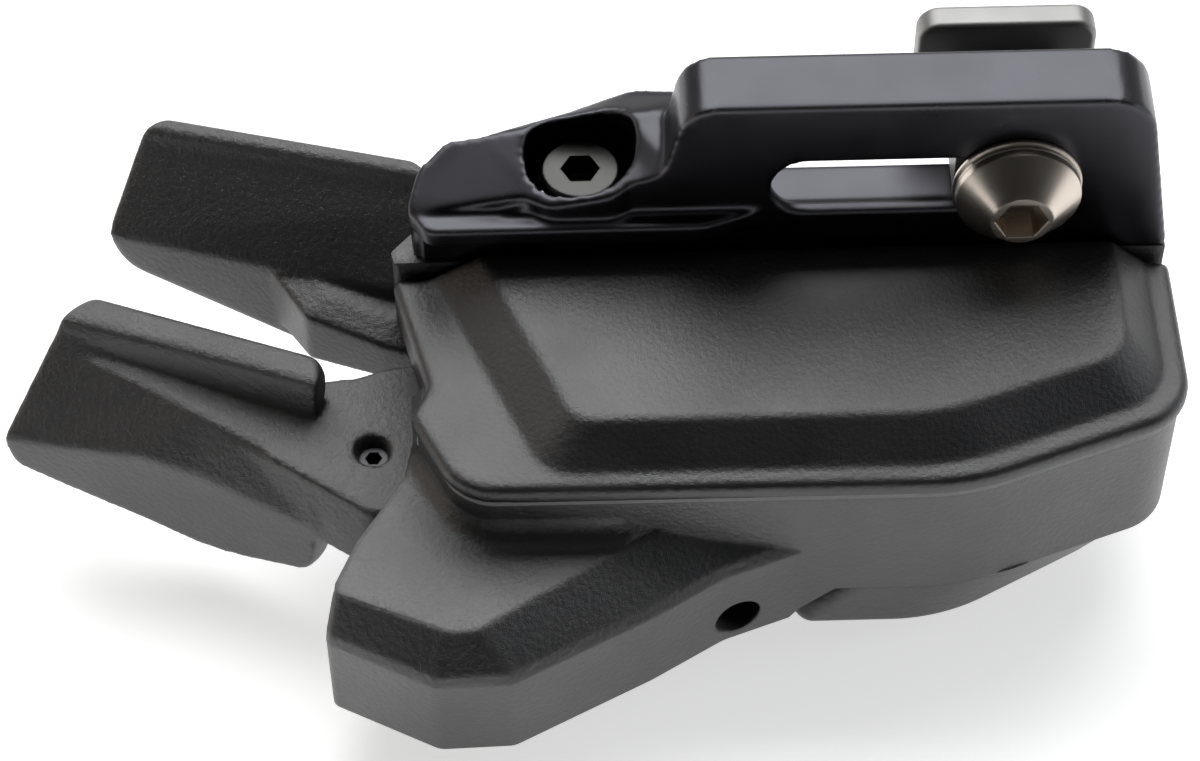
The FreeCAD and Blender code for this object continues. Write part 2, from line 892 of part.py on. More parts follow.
def release_blade():
    """Upper thumb blade: rim above, sloped face, lower face that tapers to the tip."""
    frame = blade_frame(release_blade_start, release_blade_angle)
    top = release_blade_top_z
    edge = blade_edge_width + 0.2
    inner = [
        (-edge, top, 0.7), (0, top, 0.9), (5.3, top - 5.6, 0.8),
        (5.8, top - 13.6, 0.8), (2.8, top - 13.6, 0.8), (0.2, top - 7.0, 2.0),
    ]
    middle = [
        (-edge, top, 0.7), (0, top, 0.9), (5.3, top - 5.6, 0.8),
        (5.8, top - 13.2, 0.8), (2.8, top - 13.2, 0.8), (0.2, top - 7.0, 2.0),
    ]
    tip = [
        (-edge, top, 0.7), (0, top, 0.9), (4.8, top - 5.4, 0.8),
        (5.4, top - 8.4, 0.8), (2.6, top - 8.4, 0.8), (-0.2, top - 5.4, 2.0),
    ]
    sections = [
        blade_section(frame, 1.0, 0.0, inner),
        blade_section(frame, release_blade_length * 0.5, 0.3, middle),
        blade_section(frame, release_blade_length, 0.95, tip),
    ]
    return Part.makeLoft(sections, True, True)


def release_arm():
    """Arm of the release lever, whose top slopes up towards the blade."""
    outline = [
        (-31.6, 22.6, 1.0),
        (-26.9, 15.8, 1.5),
        (-13.0, 12.2, 2.0),
        (release_pivot[0], release_pivot[1] - release_hub_radius, 0),
        (release_pivot[0], release_pivot[1] + release_hub_radius, 0),
        (-13.0, 22.0, 1.0),
        (-19.0, 22.4, 0),
        (-24.0, 26.0, 0),
    ]
    low = arm_top_z - arm_thickness
    arm = prism(outline, low, arm_top_z + 2.4)
    slope = [(-40.0, arm_top_z + 3.3), (-19.0, arm_top_z), (0.0, arm_top_z), (0.0, 0.0), (-40.0, 0.0)]
    arm = arm.cut(prism_y(square(slope), 0.0, 40.0))
    rims = edges_near(arm, is_release_rim)
    return arm.makeFillet(0.9, rims)


def is_release_rim(middle, edge):
    above = middle.z > arm_top_z - 0.01
    return above and middle.x < -13.5 and middle.y < 21.0 and edge.BoundBox.YLength > 0.5 and abs(middle.x + 19.0) > 0.05


def release_lever():
    low = lever_slot_bottom_z + side_clearance
    lever = joined(release_blade(), release_arm())
    clear = rod(release_pivot, hub_top_z(), 0, release_hub_radius + 1.2)
    lever = lever.cut(clear)
    hub = rod(release_pivot, low, hub_top_z(), release_hub_radius)
    boss = rod(release_pivot, hub_top_z(), boss_top_z(), release_spring_radius - spring_wire / 2 - 0.35)
    lever = joined(lever, hub, boss, lever_tab(release_pivot, release_plunger_y))
    return lever.cut(rod(release_pivot, -30, 0, bushing_radius()))


def wall_profile():
    """Front view of the bracket wall with its left shoulder."""
    return [
        (-15.2, deck_z, 0),
        (-15.2, 4.4, 0),
        (5.1, 7.9, 2.6),
        (wall_left_x, wall_top_z, 3.4),
        (wall_right_x, wall_top_z, 2.6),
        (wall_right_x + wall_lean, deck_z, 0),
    ]


def foot_section(y, left, middle, right):
    """Upright section across the foot; the three heights are its roof."""
    points = [(-20.0, deck_z), (-20.0, left), (-2.0, middle), (9.4, right), (9.4, deck_z)]
    return rounded(square(points), upright(y))


def foot_block():
    """Foot of the bracket: a roof that rises to a ridge and falls away behind it."""
    sections = [
        foot_section(12.0, 2.2, 5.0, 7.4),
        foot_section(ridge_y, 6.5, 9.4, 11.6),
        foot_section(29.0, 1.0, 5.6, 9.0),
    ]
    roof = Part.makeLoft(sections, True, True)
    plan = [
        (-16.6, wall_front_y + 0.4, 1.2),
        (9.4, wall_front_y + 0.4, 0),
        (9.4, 27.4, 1.0),
        (0.0, 26.6, 3.0),
        (-9.6, 22.9, 3.0),
        (-12.8, 22.6, 1.5),
        (-15.4, 19.9, 1.5),
    ]
    return roof.common(prism(plan, deck_z, wall_top_z))


def toe():
    """Thin lip along the front of the foot, over the rear edge of the cover."""
    points = [
        (-16.8, 16.6, 1.0),
        (-14.6, toe_front_y, 1.6),
        (8.6, toe_front_y, 4.0),
        (13.0, wall_front_y + 0.3, 0),
        (-14.0, wall_front_y + 3.0, 0),
    ]
    lip = prism(points, toe_top_z - toe_thickness, toe_top_z)
    rims = edges_near(lip, lambda p, e: p.y < wall_front_y and e.BoundBox.ZLength < 0.01)
    return lip.makeFillet(0.6, rims)


def mount_bracket():
    """Metal bracket: slotted wall, foot with a screw pocket, and the toe over the cover."""
    wall = prism_y(wall_profile(), wall_front_y, wall_rear_y)
    rear_rim = edges_near(wall, lambda p, e: abs(p.y - wall_rear_y) < 0.01 and p.z > 8.5 and p.x > 6.0)
    wall = wall.makeFillet(0.8, rear_rim)
    bracket = joined(wall, foot_block(), toe())
    boss_top = rod(screw_pocket_at, deck_z, 6.4, screw_pocket_radius + screw_pocket_wall)
    bracket = joined(bracket, boss_top.common(box(-20, 20, toe_front_y + 0.3, 40, toe_top_z - 1, 20)))
    pocket = rod(screw_pocket_at, screw_seat_z, 20.0, screw_pocket_radius)
    bracket = bracket.cut(pocket)
    bracket = bracket.cut(rod(screw_pocket_at, deck_z, screw_seat_z, m4_radius + 0.25))
    bracket = bracket.cut(rod(m3_at, deck_z, m3_reach_z + 0.6, m3_radius))
    return bracket.cut(bracket_slot()).removeSplitter()


def bracket_slot():
    """Slot through the wall with a wider channel behind its front lip."""
    through = stadium_points(bracket_slot_left_x, bracket_slot_right_x, bracket_slot_height)
    front = prism_y(through, wall_front_y - 1, wall_rear_y + 1)
    tall = bracket_slot_height + channel_margin * 2
    left = bracket_slot_left_x - channel_overrun
    right = bracket_slot_right_x + channel_overrun
    low = seat_z - tall / 2
    high = seat_z + tall / 2
    channel = [(left, low, 1.0), (right, low, 1.0), (right, high, 1.0), (left, high, 1.0)]
    return front.fuse(prism_y(channel, wall_front_y + slot_lip, wall_rear_y + 1))


def stadium_points(left, right, height):
    radius = height / 2 - 0.01
    low = seat_z - height / 2
    high = seat_z + height / 2
    return [(left, low, radius), (right, low, radius), (right, high, radius), (left, high, radius)]


def bracket_screw():
    """Cap screw in the foot's pocket, into the housing."""
    seat = screw_seat_z
    head = rod(screw_pocket_at, seat, seat + m4_head_height, m4_head_radius)
    head = head.makeChamfer(0.3, edges_near(head, lambda p, e: abs(p.z - seat - m4_head_height) < 0.01))
    shank = rod(screw_pocket_at, seat - m4_length + 0.3, seat, m4_radius)
    return joined(head, shank).cut(hex_socket_down(screw_pocket_at, seat + m4_head_height, 2.4, m4_key))


def bracket_rear_screw():
    """Long screw from below, through the housing into the wall."""
    seat = battery_face_z + m3_head_height + 0.6
    head = rod(m3_at, seat - m3_head_height, seat, m3_head_radius)
    shank = rod(m3_at, seat, m3_reach_z, m3_radius)
    return joined(head, shank).cut(hex_socket_down(m3_at, seat - m3_head_height + 1.4, 1.4, 2.0))


def bolt_seat_y():
    """Front face of the washers, where the bolt's flange bears."""
    return wall_front_y - clamp_clearance - 2 * washer_thickness


def clamp_bolt():
    """Bolt with a concave conical head, turned about the clamp axis."""
    seat = bolt_seat_y()
    tip = seat - bolt_head_height
    end = wall_rear_y + lug_gap + nut_plate_thickness - 0.4
    rim = Vector(seat_x + bolt_flange_radius, seat - 0.7, seat_z)
    waist = Vector(seat_x + bolt_tip_radius + 0.9, tip + 1.25, seat_z)
    neck = Vector(seat_x + bolt_tip_radius, tip + 0.35, seat_z)
    lines = [
        (Vector(seat_x, tip, seat_z), Vector(seat_x + bolt_tip_radius - 0.3, tip, seat_z)),
        (Vector(seat_x + bolt_tip_radius - 0.3, tip, seat_z), neck),
        (Vector(rim.x, rim.y, seat_z), Vector(seat_x + bolt_flange_radius, seat, seat_z)),
        (Vector(seat_x + bolt_flange_radius, seat, seat_z), Vector(seat_x + m6_radius, seat, seat_z)),
        (Vector(seat_x + m6_radius, seat, seat_z), Vector(seat_x + m6_radius, end, seat_z)),
        (Vector(seat_x + m6_radius, end, seat_z), Vector(seat_x, end, seat_z)),
        (Vector(seat_x, end, seat_z), Vector(seat_x, tip, seat_z)),
    ]
    edges = [Part.LineSegment(a, b).toShape() for a, b in lines]
    edges.append(Part.Arc(neck, waist, rim).toShape())
    profile = Part.Face(Part.Wire(Part.__sortEdges__(edges)))
    bolt = profile.revolve(Vector(seat_x, 0, seat_z), Vector(0, 1, 0), 360)
    points = [(seat_x + a, seat_z + b) for a, b in hexagon(m6_key)]
    return bolt.cut(prism_y(square(points), tip, tip + 2.8))


def clamp_washers():
    """Two stacked washers between the bolt's flange and the wall."""
    rings = []
    for k in range(2):
        back = wall_front_y - clamp_clearance - k * washer_thickness
        radius = washer_radius - 0.2 * k
        ring = rod_y(seat_x, seat_z, back - washer_thickness, back, radius)
        rim = edges_near(ring, lambda p, e: e.BoundBox.YLength < 0.01)
        ring = ring.makeFillet(0.12, rim)
        rings.append(ring.cut(rod_y(seat_x, seat_z, back - 2, back + 2, m6_radius)))
    return Part.makeCompound(rings)


def clamp_nut():
    """Plate nut behind the brake clamp, whose neck slides in the bracket's channel."""
    front = wall_rear_y + lug_gap
    half_w = nut_plate_width / 2
    half_h = nut_plate_height / 2
    plate = [
        (seat_x - half_w, seat_z - half_h, 2.0),
        (seat_x + half_w, seat_z - half_h, 2.0),
        (seat_x + half_w, seat_z + half_h, 2.0),
        (seat_x - half_w, seat_z + half_h, 2.0),
    ]
    nut = prism_y(plate, front, front + nut_plate_thickness)
    rims = edges_near(nut, lambda p, e: e.BoundBox.YLength < 0.01)
    nut = nut.makeFillet(0.5, rims)
    tall = bracket_slot_height + 2 * channel_margin - 2 * nut_neck_clearance
    half_n = nut_neck_width / 2
    neck = [
        (seat_x - half_n, seat_z - tall / 2, 1.2),
        (seat_x + half_n, seat_z - tall / 2, 1.2),
        (seat_x + half_n, seat_z + tall / 2, 1.2),
        (seat_x - half_n, seat_z + tall / 2, 1.2),
    ]
    neck_front = wall_front_y + slot_lip + nut_neck_clearance
    nut = joined(nut, prism_y(neck, neck_front, front + 0.5))
    return nut.cut(rod_y(seat_x, seat_z, 0, 60, m6_radius))


pieces = {
    "main_housing": main_housing(),
    "top_cover": top_cover(),
    "cover_gasket": cover_gasket(),
    "cover_screws": cover_screws(),
    "battery_cover": battery_cover(),
    "battery_cover_seal": battery_cover_seal(),
    "battery_cover_screws": battery_cover_screws(),
    "coin_cell": coin_cell(),
    "battery_contact_negative": battery_contact_negative(),
    "battery_contact_positive": battery_contact_positive(),
    "circuit_board": circuit_board(),
    "radio_module": radio_module(),
    "control_chip": control_chip(),
    "switch_board": switch_board(),
    "switch_flex": switch_flex(),
    "main_switch": switch_body(main_plunger_y),
    "release_switch": switch_body(release_plunger_y),
    "main_switch_button": switch_button(main_plunger_y),
    "release_switch_button": switch_button(release_plunger_y),
    "main_plunger": plunger(main_plunger_y),
    "release_plunger": plunger(release_plunger_y),
    "main_plunger_seal": plunger_seal(main_plunger_y),
    "release_plunger_seal": plunger_seal(release_plunger_y),
    "main_lever": main_lever(),
    "main_lever_carrier": main_lever_carrier(),
    "lever_fixing_screw": lever_fixing_screw(),
    "main_lever_bushing": bushing(main_pivot),
    "main_pivot_pin": pivot_pin(main_pivot),
    "main_return_spring": return_spring(main_pivot, main_spring_radius),
    "release_lever": release_lever(),
    "release_lever_bushing": bushing(release_pivot),
    "release_pivot_pin": pivot_pin(release_pivot),
    "release_return_spring": return_spring(release_pivot, release_spring_radius),
    "mount_bracket": mount_bracket(),
    "bracket_screw": bracket_screw(),
    "bracket_rear_screw": bracket_rear_screw(),
    "clamp_bolt": clamp_bolt(),
    "clamp_washers": clamp_washers(),
    "clamp_nut": clamp_nut(),
}

for name, shape in pieces.items():
    shape.translate(origin * -1)
    shape.exportStep("parts/" + name + ".step")
    size = shape.BoundBox
    print(name, "solids", len(shape.Solids), "valid", shape.isValid(), "volume", round(shape.Volume, 1),
          "box", round(size.XLength, 1), round(size.YLength, 1), round(size.ZLength, 1))
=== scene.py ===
import bmesh
import bpy
import math
import numpy as np
from mathutils import Matrix, Vector


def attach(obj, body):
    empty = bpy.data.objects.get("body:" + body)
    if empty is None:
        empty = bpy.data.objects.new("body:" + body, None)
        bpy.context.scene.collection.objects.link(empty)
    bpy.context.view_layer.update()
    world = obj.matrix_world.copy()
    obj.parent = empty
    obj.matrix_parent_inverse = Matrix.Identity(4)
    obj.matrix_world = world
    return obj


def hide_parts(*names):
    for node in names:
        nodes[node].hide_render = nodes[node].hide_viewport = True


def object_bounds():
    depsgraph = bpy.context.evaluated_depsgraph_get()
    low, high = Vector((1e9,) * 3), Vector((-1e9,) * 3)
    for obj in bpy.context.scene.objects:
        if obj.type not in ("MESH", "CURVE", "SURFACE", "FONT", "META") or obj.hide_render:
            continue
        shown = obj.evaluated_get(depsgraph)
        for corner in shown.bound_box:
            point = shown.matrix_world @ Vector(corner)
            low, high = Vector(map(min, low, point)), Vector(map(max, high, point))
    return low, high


# A trigger gear shifter for a bicycle handlebar: black moulded nylon housing and levers,
# a grey anodised bracket and stainless clamp hardware.

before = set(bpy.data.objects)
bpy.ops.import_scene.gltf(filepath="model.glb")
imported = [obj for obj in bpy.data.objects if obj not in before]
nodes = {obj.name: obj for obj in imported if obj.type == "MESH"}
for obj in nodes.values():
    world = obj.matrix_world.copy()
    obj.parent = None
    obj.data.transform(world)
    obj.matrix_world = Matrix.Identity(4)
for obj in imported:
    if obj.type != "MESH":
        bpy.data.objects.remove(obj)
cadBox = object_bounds()
scene = bpy.context.scene
mm = 0.001


def linear(hexColour):
    # sRGB hex to linear RGBA: below 0.04045 divide by 12.92, above it the 2.4 power curve
    channels = [int(hexColour[i:i + 2], 16) / 255 for i in (1, 3, 5)]
    values = [c / 12.92 if c <= 0.04045 else ((c + 0.055) / 1.055) ** 2.4 for c in channels]
    return (*values, 1.0)


def addNode(tree, kind, settings=None, links=None):
    # one node with its settings and the sockets that feed it; a socket is named or numbered
    node = tree.nodes.new(kind)
    for name, value in (settings or {}).items():
        if isinstance(name, int) or name in node.inputs:
            node.inputs[name].default_value = value
        else:
            setattr(node, name, value)
    for name, source in (links or {}).items():
        tree.links.new(source, node.inputs[name])
    return node


def newMaterial(name):
    material = bpy.data.materials.new(name)
    material.use_nodes = True
    tree = material.node_tree
    tree.nodes.clear()
    return material, tree


def finishMaterial(tree, settings, links):
    shader = addNode(tree, "ShaderNodeBsdfPrincipled", settings, links)
    addNode(tree, "ShaderNodeOutputMaterial", {}, {"Surface": shader.outputs[0]})


def perMillimetre(size):
    # texture scale whose pattern repeats about once in a real size given in millimetres
    return 1000.0 / size


def mapped(tree, value, source, target):
    # a value carried from one range to another and held at the ends
    limits = {"From Min": source[0], "From Max": source[1], "To Min": target[0], "To Max": target[1]}
    return addNode(tree, "ShaderNodeMapRange", limits, {"Value": value}).outputs[0]


def noise(tree, place, size, detail, settings=None):
    # a cloudy pattern of one size in millimetres
    values = {"Scale": perMillimetre(size), "Detail": detail, **(settings or {})}
    return addNode(tree, "ShaderNodeTexNoise", values, {"Vector": place.outputs["Object"]})


def blend(tree, first, second, share):
    # a mix of two hex colours
    colours = {"data_type": "RGBA", 6: linear(first), 7: linear(second)}
    return addNode(tree, "ShaderNodeMix", colours, {0: share})


surface = {
    "wearAndHighlightLimits": (0.995, 0.90),   # cosine of the normal's turn where the lighter edge colour, partly wear and partly a painted highlight, begins and where it is full
    "noiseRange": (0.3, 0.7),      # where nearly all values of a noise pattern lie
    "edgeSamples": 2,
}


def softEdge(tree, radius):
    # a normal that is rounded over the edges, by a radius in millimetres
    return addNode(tree, "ShaderNodeBevel", {"samples": surface["edgeSamples"], "Radius": radius * mm})


def edgeWearAndHighlight(tree, soft):
    # white on sharp outer edges, a mask for edge colour that is partly wear and partly a painted edge
    # highlight: how far the rounded normal turns away from the true one
    geometry = addNode(tree, "ShaderNodeNewGeometry")
    turn = addNode(tree, "ShaderNodeVectorMath", {"operation": "DOT_PRODUCT"},
                   {0: soft.outputs["Normal"], 1: geometry.outputs["Normal"]})
    return mapped(tree, turn.outputs["Value"], surface["wearAndHighlightLimits"], (0.0, 1.0))


# camera, at the photograph's viewing angle

view = {
    "elevation": 51.0,        # degrees above the lid
    "azimuth": 1.0,           # degrees round from looking along +Y
    "roll": 0.6,              # degrees
    "lens": 99.0,             # mm
    "sensor": 36.0,           # mm
    "nearest": 0.01,          # m, nothing closer is drawn
    "distance": 279.7,        # mm
    "target": (-36.3, -21.0, -7.1),   # mm, the zero of the drawing below
}


def placeCamera(v):
    # back points from the target to the camera; right and up are turned by the roll
    e, a, r = (math.radians(v[k]) for k in ("elevation", "azimuth", "roll"))
    back = Vector((-math.sin(a) * math.cos(e), -math.cos(a) * math.cos(e), math.sin(e)))
    level = Vector((math.cos(a), -math.sin(a), 0.0))
    upright = back.cross(level)
    right = level * math.cos(r) - upright * math.sin(r)
    up = upright * math.cos(r) + level * math.sin(r)
    data = bpy.data.cameras.new("camera")
    data.lens = v["lens"]
    data.sensor_width = v["sensor"]
    data.clip_start = v["nearest"]
    camera = bpy.data.objects.new("camera", data)
    scene.collection.objects.link(camera)
    place = (Vector(v["target"]) + back * v["distance"]) * mm
    turn = Matrix((right, up, back)).transposed().to_4x4()
    camera.matrix_world = Matrix.Translation(place) @ turn
    scene.camera = camera


placeCamera(view)
print("camera placed")

# floor, soft boxes and world

studio = {
    "floorDrop": 3.0,         # mm from the object's lowest point to the floor
    "floorHalf": 3.0,         # m, half the floor's side
    "floorColour": "#EDEDED",
    "floorSeen": 0.60,        # glow where the floor is seen, so that it reads as white
    "floorMirrored": 0.70,    # the same in reflections, where the paper fills the lower half
    "worldFront": 0.02,       # the dim room behind the camera
    "worldBack": 0.45,        # the pale wall behind the object
    "worldTurn": 0.35,        # the world changes from one to the other between -0.35 and 0.35 along Y
    "boxes": [                # name, azimuth, elevation, distance, width, height (m), level, colour
        ("rearBox", 178.0, 53.0, 0.80, 0.98, 0.54, 4.3, "#FFFFFF"),
        ("leftBox", -100.0, 14.0, 0.70, 0.20, 0.30, 1.5, "#FFD8B0"),
        ("rightBox", 92.0, 20.0, 0.80, 0.24, 0.36, 2.2, "#F2F6FF"),
        ("frontStrip", 8.0, 0.0, 0.90, 0.60, 0.07, 1.3, "#FFFFFF"),
    ],
}


def buildStudio(s):
    low = cadBox[0].z - s["floorDrop"] * mm
    mesh = bpy.data.meshes.new("studioFloor")
    half = s["floorHalf"]
    corners = [(-half, -half, low), (half, -half, low), (half, half, low), (-half, half, low)]
    mesh.from_pydata(corners, [], [(0, 1, 2, 3)])
    floor = bpy.data.objects.new("studioFloor", mesh)
    scene.collection.objects.link(floor)
    material, tree = newMaterial("matt white studio paper")   # no gloss, only a soft shadow
    path = addNode(tree, "ShaderNodeLightPath")
    mirrored = addNode(tree, "ShaderNodeMath", {"operation": "MAXIMUM"},
                       {0: path.outputs["Is Glossy Ray"], 1: path.outputs["Is Transmission Ray"]})
    seen = addNode(tree, "ShaderNodeMath", {"operation": "MULTIPLY", 1: s["floorSeen"]},
                   {0: path.outputs["Is Camera Ray"]})
    glow = addNode(tree, "ShaderNodeMath", {"operation": "MULTIPLY_ADD", 1: s["floorMirrored"]},
                   {0: mirrored.outputs[0], 2: seen.outputs[0]})
    paper = addNode(tree, "ShaderNodeBsdfDiffuse", {"Color": linear(s["floorColour"])})
    light = addNode(tree, "ShaderNodeEmission", {}, {"Strength": glow.outputs[0]})
    both = addNode(tree, "ShaderNodeAddShader", {}, {0: paper.outputs[0], 1: light.outputs[0]})
    addNode(tree, "ShaderNodeOutputMaterial", {}, {"Surface": both.outputs[0]})
    mesh.materials.append(material)
    world = bpy.data.worlds.new("studio")
    scene.world = world
    world.use_nodes = True
    world.node_tree.nodes.clear()
    room = world.node_tree                     # pale behind the object, dimmer behind the camera
    where = addNode(room, "ShaderNodeTexCoord")
    parts = addNode(room, "ShaderNodeSeparateXYZ", {}, {0: where.outputs["Generated"]})
    turn = s["worldTurn"]
    wall = mapped(room, parts.outputs["Y"], (-turn, turn), (s["worldFront"], s["worldBack"]))
    sky = addNode(room, "ShaderNodeBackground", {"Color": (1, 1, 1, 1)}, {"Strength": wall})
    addNode(room, "ShaderNodeOutputWorld", {}, {"Surface": sky.outputs[0]})
    middle = (cadBox[0] + cadBox[1]) / 2
    for name, azimuth, elevation, distance, width, height, level, colour in s["boxes"]:
        a, e = math.radians(azimuth), math.radians(elevation)
        out = Vector((math.sin(a) * math.cos(e), -math.cos(a) * math.cos(e), math.sin(e)))
        lamp = bpy.data.lights.new(name, "AREA")
        lamp.shape = "RECTANGLE"
        lamp.size = width
        lamp.size_y = height
        lamp.energy = level * math.pi * width * height     # level is the radiance of its face
        lamp.color = linear(colour)[:3]
        box = bpy.data.objects.new(name, lamp)
        scene.collection.objects.link(box)
        facing = out.to_track_quat("Z", "Y").to_matrix().to_4x4()
        box.matrix_world = Matrix.Translation(middle + out * distance) @ facing


buildStudio(studio)
scene.view_settings.view_transform = "Standard"
print("studio built")

# moulded nylon: housing, lid, levers

# grain, height and edge are in millimetres; an edge of 0.0 is soft in the mesh itself and gets no lighter
# edge colour of wear and painted highlight
nylon = {
    "housing": {"colour": "#19191B", "wornAndHighlit": "#2C2C2F", "rough": 0.41, "gloss": 1.0, "grain": 0.50,
                "height": 0.055, "edge": 0.70},
    "lid": {"colour": "#1C1C1E", "wornAndHighlit": "#303033", "rough": 0.40, "gloss": 0.75, "grain": 0.46,
            "height": 0.042, "edge": 0.0},
    "lever": {"colour": "#1A1A1C", "wornAndHighlit": "#2E2E31", "rough": 0.42, "gloss": 1.0, "grain": 0.50,
              "height": 0.075, "edge": 0.0},
}

etching = {
    "waver": 1.4,             # mm, size of the noise that bends the pattern of cells
    "waverShare": 0.5,        # how far it bends them, in cells
    "smoothness": 0.6,        # of the borders between cells
    "grit": 0.11,             # mm
    "cellDepth": -0.8,        # the cells' height against that of the grit
    "cloud": 9.0,             # mm, size of the patches that are more or less polished
    "roughSpread": 0.05,
    "wornRough": -0.14,       # change of roughness on worn edges
    "ior": 1.53,
}


def mouldedNylon(name, n):
    # glass-filled nylon, injection moulded in an etched tool: black, half matt, with a fine
    # leather grain of rounded cells, and edges painted lighter, partly as polish from the thumb and the bag
    # and partly as a painted highlight
    material, tree = newMaterial(name)
    place = addNode(tree, "ShaderNodeTexCoord")
    waver = noise(tree, place, etching["waver"], 2.0)
    bend = {"operation": "SCALE", "Scale": n["grain"] * etching["waverShare"] * mm}
    shift = addNode(tree, "ShaderNodeVectorMath", bend, {0: waver.outputs["Color"]})
    bent = addNode(tree, "ShaderNodeVectorMath", {"operation": "ADD"},
                   {0: place.outputs["Object"], 1: shift.outputs[0]})
    pattern = {"feature": "SMOOTH_F1", "Scale": perMillimetre(n["grain"])}
    pattern["Smoothness"] = etching["smoothness"]
    cells = addNode(tree, "ShaderNodeTexVoronoi", pattern, {"Vector": bent.outputs[0]})
    grit = noise(tree, place, etching["grit"], 3.0)
    mixed = addNode(tree, "ShaderNodeMath", {"operation": "MULTIPLY_ADD", 1: etching["cellDepth"]},
                    {0: cells.outputs["Distance"], 2: grit.outputs["Fac"]})
    if n["edge"]:
        soft = softEdge(tree, n["edge"])
    else:
        soft = addNode(tree, "ShaderNodeNewGeometry")
    relief = addNode(tree, "ShaderNodeBump", {"Strength": 1.0, "Distance": n["height"] * mm},
                     {"Height": mixed.outputs[0], "Normal": soft.outputs["Normal"]})
    cloud = noise(tree, place, etching["cloud"], 3.0)
    wearAndHighlightPatches = addNode(tree, "ShaderNodeMath", {"operation": "MULTIPLY"},
                     {0: edgeWearAndHighlight(tree, soft), 1: cloud.outputs["Fac"]})
    # the lighter edge colour is partly wear and partly a painted highlight
    colour = blend(tree, n["colour"], n["wornAndHighlit"], wearAndHighlightPatches.outputs[0])
    spread = etching["roughSpread"]
    rough = mapped(tree, cloud.outputs["Fac"], surface["noiseRange"],
                   (n["rough"] - spread, n["rough"] + spread))
    polished = addNode(tree, "ShaderNodeMath", {"operation": "MULTIPLY_ADD", 1: etching["wornRough"]},
                       {0: wearAndHighlightPatches.outputs[0], 2: rough})
    finishMaterial(tree, {"IOR": etching["ior"], "Specular IOR Level": n["gloss"]}, {
        "Base Color": colour.outputs["Result"], "Roughness": polished.outputs[0], "Normal": relief.outputs[0],
    })
    return material


housingNylon = mouldedNylon("moulded nylon housing", nylon["housing"])
lidNylon = mouldedNylon("moulded nylon lid", nylon["lid"])
leverNylon = mouldedNylon("moulded nylon lever", nylon["lever"])
print("nylon made")

# metals

# grit and height are in millimetres; the last number is the share of the lighter edge colour on the edges,
# which stands partly for wear and partly for a painted edge highlight
metals = {
    "anodised bracket":
        {"colour": "#414145", "wornAndHighlit": "#9A9AA0", "rough": 0.30, "grit": 0.10, "height": 0.010, "wearAndHighlight": 0.9},
    "satin plate nut":
        {"colour": "#848483", "wornAndHighlit": "#B4B4B3", "rough": 0.46, "grit": 0.12, "height": 0.006, "wearAndHighlight": 0.7},
    "zinc cap screw":
        {"colour": "#3E3E3D", "wornAndHighlit": "#6B6A67", "rough": 0.34, "grit": 0.10, "height": 0.006, "wearAndHighlight": 0.6},
    "turned stainless":
        {"colour": "#C9BFB4", "wornAndHighlit": "#DDD6CE", "rough": 0.30, "grit": 0.09, "height": 0.004, "wearAndHighlight": 0.5},
    "black oxide screw":
        {"colour": "#3C3B3D", "wornAndHighlit": "#6B6A6C", "rough": 0.36, "grit": 0.10, "height": 0.005, "wearAndHighlight": 0.6},
    "ground steel pin":
        {"colour": "#B5B3B0", "wornAndHighlit": "#CFCECB", "rough": 0.22, "grit": 0.08, "height": 0.003, "wearAndHighlight": 0.5},
    "drawn spring wire":
        {"colour": "#9C9B99", "wornAndHighlit": "#BDBCBA", "rough": 0.26, "grit": 0.06, "height": 0.003, "wearAndHighlight": 0.4},
    "sintered bronze":
        {"colour": "#9A7748", "wornAndHighlit": "#B8945F", "rough": 0.42, "grit": 0.14, "height": 0.010, "wearAndHighlight": 0.5},
    "milled carrier":
        {"colour": "#BDBDBE", "wornAndHighlit": "#DADADA", "rough": 0.30, "grit": 0.15, "height": 0.006, "wearAndHighlight": 0.6},
    "pressed cell can":
        {"colour": "#C8C7C4", "wornAndHighlit": "#E2E1DE", "rough": 0.20, "grit": 0.20, "height": 0.003, "wearAndHighlight": 0.5},
    "tinned radio can":
        {"colour": "#C2C2BE", "wornAndHighlit": "#DBDBD8", "rough": 0.33, "grit": 0.20, "height": 0.004, "wearAndHighlight": 0.5},
    "nickel strip":
        {"colour": "#BFB8A4", "wornAndHighlit": "#D9D3C2", "rough": 0.25, "grit": 0.10, "height": 0.003, "wearAndHighlight": 0.4},
}

machining = {
    "cloud": 7.0,             # mm, size of the patches that are more or less polished
    "edge": 0.22,             # mm, radius of the rounded edges that carry the lighter colour of wear and painted highlight
    "gritRoughness": 0.6,
    "strength": 0.6,
    "roughBelow": 0.04,
    "roughAbove": 0.05,
}


def metal(name, m):
    # bead-blasted, turned or pressed metal: fine grit that sparkles, edges painted brighter, partly as rubbed
    # wear and partly as a painted highlight
    material, tree = newMaterial(name)
    place = addNode(tree, "ShaderNodeTexCoord")
    grit = noise(tree, place, m["grit"], 4.0, {"Roughness": machining["gritRoughness"]})
    cloud = noise(tree, place, machining["cloud"], 3.0)
    soft = softEdge(tree, machining["edge"])
    bump = {"Strength": machining["strength"], "Distance": m["height"] * mm}
    relief = addNode(tree, "ShaderNodeBump", bump,
                     {"Height": grit.outputs["Fac"], "Normal": soft.outputs["Normal"]})
    rubbedAndHighlit = addNode(tree, "ShaderNodeMath", {"operation": "MULTIPLY", 1: m["wearAndHighlight"]},
                     {0: edgeWearAndHighlight(tree, soft)})
    # lighter edges: partly rubbed wear, partly a painted highlight
    base = blend(tree, m["colour"], m["wornAndHighlit"], rubbedAndHighlit.outputs[0])
    rough = mapped(tree, cloud.outputs["Fac"], surface["noiseRange"],
                   (m["rough"] - machining["roughBelow"], m["rough"] + machining["roughAbove"]))
    finishMaterial(tree, {"Metallic": 1.0},
                   {"Base Color": base.outputs["Result"], "Roughness": rough, "Normal": relief.outputs[0]})
    return material


